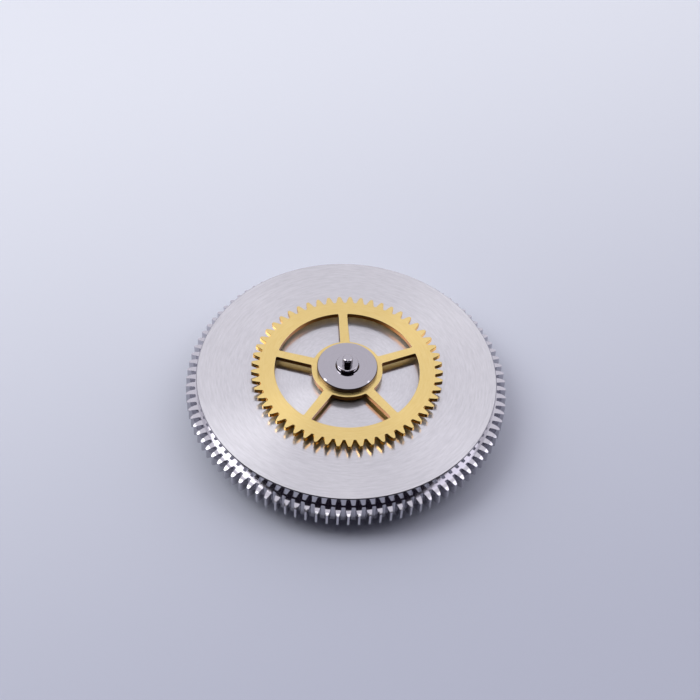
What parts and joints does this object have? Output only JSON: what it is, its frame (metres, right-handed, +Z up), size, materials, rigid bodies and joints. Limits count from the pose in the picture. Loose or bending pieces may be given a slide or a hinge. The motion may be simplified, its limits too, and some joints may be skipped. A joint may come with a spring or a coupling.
{
  "type": "mainspring barrel",
  "caption": "Watch mainspring barrel: toothed drum with snap cover, coiled mainspring, stepped arbor and a friction-held spoked driving wheel on top.",
  "frame": {"origin": "on the arbor axis, at the lower end face of the arbor, which the barrel stands on", "axes": "+Z up along the arbor towards the driving wheel and upper pivot; +X through a gap between two drum teeth"},
  "size_m": [0.0128, 0.0128, 0.003],
  "materials": {
    "drum_metal": "circular satin on top, polished wall and teeth",
    "cover_metal": "circular satin",
    "bush_bronze": "turned",
    "washer_bronze": "turned",
    "polished_steel": "mirror polished",
    "gilt_brass": "gilt, fine grained, bright bevelled edges",
    "spring_steel": "rolled strip"
  },
  "bodies": {
    "barrel": {"barrel_drum": "drum_metal", "barrel_cover": "cover_metal", "drum_bush": "bush_bronze", "cover_bush": "bush_bronze", "lower_washer": "washer_bronze", "upper_washer": "washer_bronze", "mainspring": "spring_steel", "mainspring_bridle": "spring_steel", "friction_spring": "spring_steel"},
    "arbor": {"barrel_arbor": "polished_steel", "arbor_core": "polished_steel"},
    "motion_drive": {"driving_wheel": "gilt_brass", "driving_hub": "polished_steel"}
  },
  "joints": [
    {"name": "arbor_winding", "type": "hinge", "parent": "barrel", "child": "arbor", "pos_m": [0, 0, 0], "axis": [0, 0, 1], "range_deg": [0, 2340], "deforming": ["mainspring"]},
    {"name": "driving_wheel_slip", "type": "hinge", "parent": "barrel", "child": "motion_drive", "pos_m": [0, 0, 0.00212], "axis": [0, 0, 1], "continuous": true}
  ]
}
